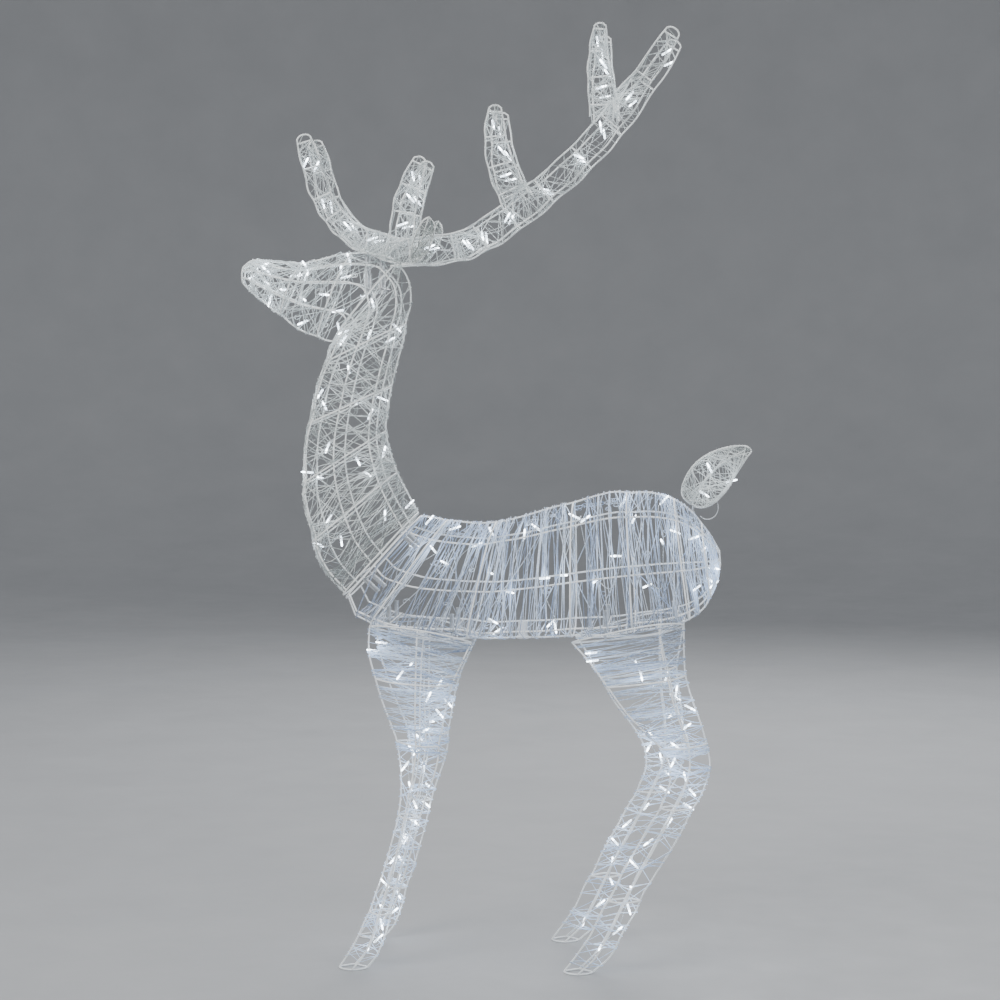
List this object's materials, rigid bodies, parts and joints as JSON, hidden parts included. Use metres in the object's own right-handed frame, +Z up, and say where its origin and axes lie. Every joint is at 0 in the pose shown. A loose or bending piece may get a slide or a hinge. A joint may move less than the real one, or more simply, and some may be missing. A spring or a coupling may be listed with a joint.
{
  "type": "light up yard reindeer",
  "caption": "Standing reindeer of welded wire cages wound with clear thread and set with LED lamps; head, antlers, tail and legs plug in.",
  "frame": {"origin": "on the ground under the middle of the whole object", "axes": "+Z up, the reindeer faces -X, its left side is -Y"},
  "size_m": [0.9825, 0.3098, 1.7824],
  "materials": {
    "coated_wire": "white coated steel wire, satin",
    "acrylic_thread": "clear frosted acrylic thread wound over the cage",
    "lamp": "cold white LED in a clear holder",
    "string_lead": "clear flexible lead",
    "plain_steel": "zinc plated",
    "inlet_housing": "moulded white",
    "contact": "plated"
  },
  "bodies": {
    "body": {"body_cage": "coated_wire", "body_winding": "acrylic_thread", "body_lamps": "lamp", "body_lead": "string_lead", "leg_sockets": "plain_steel", "neck_sockets": "plain_steel", "tail_socket": "plain_steel", "tail_loop_lead": "string_lead", "supply_inlet": "inlet_housing", "supply_inlet_contacts": "contact"},
    "neck_and_head": {"neck_and_head_cage": "coated_wire", "neck_winding": "acrylic_thread", "head_winding": "acrylic_thread", "neck_and_head_lamps": "lamp", "neck_and_head_lead": "string_lead", "left_ear_frame": "coated_wire", "right_ear_frame": "coated_wire", "left_ear_winding": "acrylic_thread", "right_ear_winding": "acrylic_thread", "neck_pins": "plain_steel", "antler_sockets": "plain_steel"},
    "left_antler": {"left_antler_cage": "coated_wire", "left_antler_winding": "acrylic_thread", "left_antler_lamps": "lamp", "left_antler_lead": "string_lead", "left_antler_pins": "plain_steel"},
    "right_antler": {"right_antler_cage": "coated_wire", "right_antler_winding": "acrylic_thread", "right_antler_lamps": "lamp", "right_antler_lead": "string_lead", "right_antler_pins": "plain_steel"},
    "front_left_leg": {"front_left_leg_cage": "coated_wire", "front_left_leg_winding": "acrylic_thread", "front_left_leg_lamps": "lamp", "front_left_leg_lead": "string_lead", "front_left_leg_pins": "plain_steel"},
    "front_right_leg": {"front_right_leg_cage": "coated_wire", "front_right_leg_winding": "acrylic_thread", "front_right_leg_lamps": "lamp", "front_right_leg_lead": "string_lead", "front_right_leg_pins": "plain_steel"},
    "hind_left_leg": {"hind_left_leg_cage": "coated_wire", "hind_left_leg_winding": "acrylic_thread", "hind_left_leg_lamps": "lamp", "hind_left_leg_lead": "string_lead", "hind_left_leg_pins": "plain_steel"},
    "hind_right_leg": {"hind_right_leg_cage": "coated_wire", "hind_right_leg_winding": "acrylic_thread", "hind_right_leg_lamps": "lamp", "hind_right_leg_lead": "string_lead", "hind_right_leg_pins": "plain_steel"},
    "tail": {"tail_frame": "coated_wire", "tail_winding": "acrylic_thread", "tail_lamps": "lamp", "tail_pin": "plain_steel"}
  },
  "joints": [
    {"name": "neck_plug", "type": "slide", "parent": "body", "child": "neck_and_head", "axis": [-0.7396, 0, 0.673], "range_m": [0, 0.03]},
    {"name": "left_antler_plug", "type": "slide", "parent": "neck_and_head", "child": "left_antler", "axis": [0, 0, 1], "range_m": [0, 0.04]},
    {"name": "right_antler_plug", "type": "slide", "parent": "neck_and_head", "child": "right_antler", "axis": [0, 0, 1], "range_m": [0, 0.04]},
    {"name": "tail_plug", "type": "slide", "parent": "body", "child": "tail", "axis": [0.1736, 0, 0.9848], "range_m": [0, 0.03]},
    {"name": "front_left_leg_plug", "type": "slide", "parent": "body", "child": "front_left_leg", "axis": [0, 0, -1], "range_m": [0, 0.04]},
    {"name": "front_right_leg_plug", "type": "slide", "parent": "body", "child": "front_right_leg", "axis": [0, 0, -1], "range_m": [0, 0.04]},
    {"name": "hind_left_leg_plug", "type": "slide", "parent": "body", "child": "hind_left_leg", "axis": [0, 0, -1], "range_m": [0, 0.04]},
    {"name": "hind_right_leg_plug", "type": "slide", "parent": "body", "child": "hind_right_leg", "axis": [0, 0, -1], "range_m": [0, 0.04]}
  ]
}
